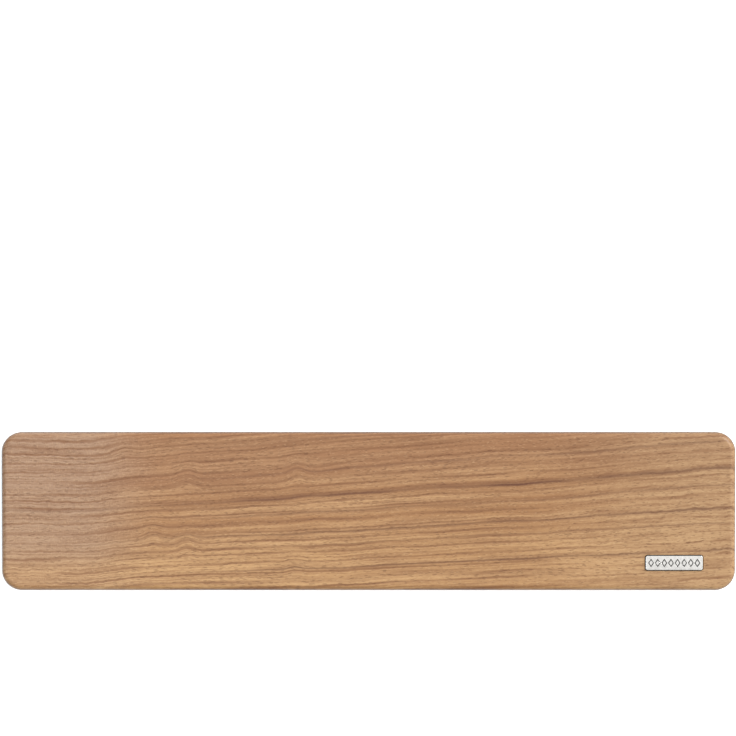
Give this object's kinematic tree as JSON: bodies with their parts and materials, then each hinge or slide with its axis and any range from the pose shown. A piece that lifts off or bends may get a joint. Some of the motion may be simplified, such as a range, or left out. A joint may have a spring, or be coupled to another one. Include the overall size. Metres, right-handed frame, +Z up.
{
  "type": "wrist rest",
  "caption": "Solid walnut palm rest that lies in front of a tenkeyless keyboard, with a sloping top, rounded corners and edges, silicone feet and a small metal badge.",
  "frame": {"origin": "on the desk, under the middle of the block's outline", "axes": "+X along the rest to the user's right, +Y towards the keyboard, +Z up"},
  "size_m": [0.366, 0.079, 0.019],
  "materials": {
    "walnut": "satin clear coat",
    "badge_metal": "satin nickel plated, cast",
    "silicone": "matt, fine texture",
    "adhesive": "clear acrylic film"
  },
  "bodies": {
    "root": {"wood_body": "walnut", "badge_plate": "badge_metal", "badge_adhesive": "adhesive", "foot_front_left": "silicone", "foot_adhesive_front_left": "adhesive", "foot_front_middle": "silicone", "foot_adhesive_front_middle": "adhesive", "foot_front_right": "silicone", "foot_adhesive_front_right": "adhesive", "foot_rear_left": "silicone", "foot_adhesive_rear_left": "adhesive", "foot_rear_middle": "silicone", "foot_adhesive_rear_middle": "adhesive", "foot_rear_right": "silicone", "foot_adhesive_rear_right": "adhesive"}
  },
  "joints": []
}
